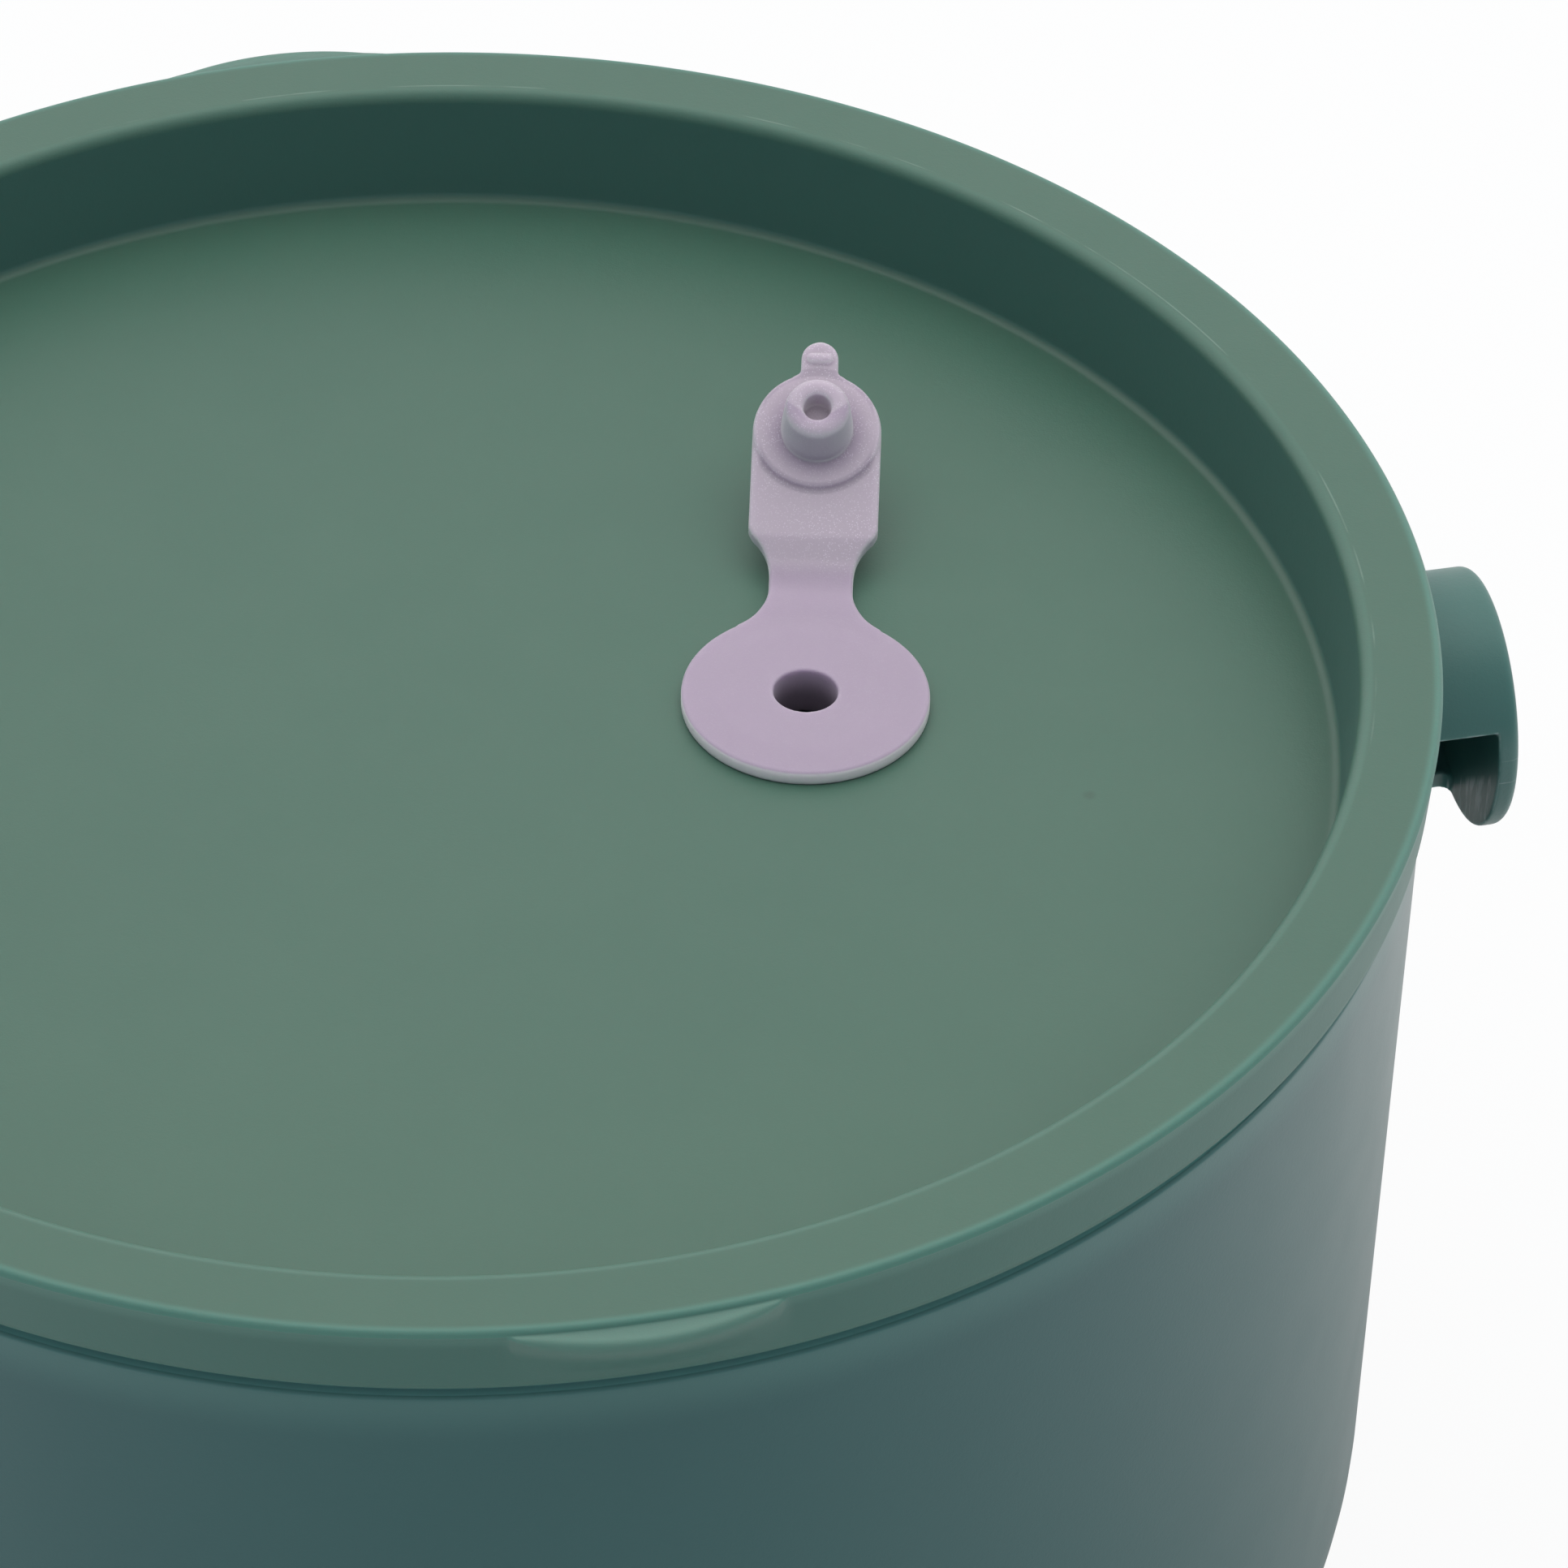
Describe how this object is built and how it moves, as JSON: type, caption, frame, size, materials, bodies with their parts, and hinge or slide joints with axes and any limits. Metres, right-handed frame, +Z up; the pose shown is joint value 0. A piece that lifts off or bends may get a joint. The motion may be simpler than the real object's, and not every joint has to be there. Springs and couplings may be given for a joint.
{
  "type": "lidded tub with vent stopper",
  "caption": "Round moulded tub with a press-on recessed lid, a tethered soft vent stopper that folds into its bore, and two open round ears for a carry handle.",
  "frame": {"origin": "centre of the standing face under the tub, on the tub's axis", "axes": "+Z up along the tub's axis, +X through the ear beside the vent, +Y towards the rear lift tab"},
  "size_m": [0.2102, 0.1952, 0.127],
  "materials": {
    "tub_plastic": "satin moulded blue-green",
    "lid_plastic": "fine matte sage green",
    "seal_silicone": "matte translucent white",
    "stopper_silicone": "matte lilac, fine grain"
  },
  "bodies": {
    "tub": {"tub": "tub_plastic", "ear_right": "tub_plastic", "ear_left": "tub_plastic"},
    "lid": {"lid": "lid_plastic", "seal_ring": "seal_silicone", "vent_grommet": "stopper_silicone"},
    "stopper": {"vent_stopper": "stopper_silicone"}
  },
  "joints": [
    {"name": "lid_lift", "type": "slide", "parent": "tub", "child": "lid", "axis": [0, 0, 1], "range_m": [0, 0.04]},
    {"name": "stopper_fold", "type": "hinge", "parent": "lid", "child": "stopper", "pos_m": [0.03893, 0.01319, 0.11373], "axis": [0.9686, -0.2487, 0], "range_deg": [-26, 154]}
  ]
}
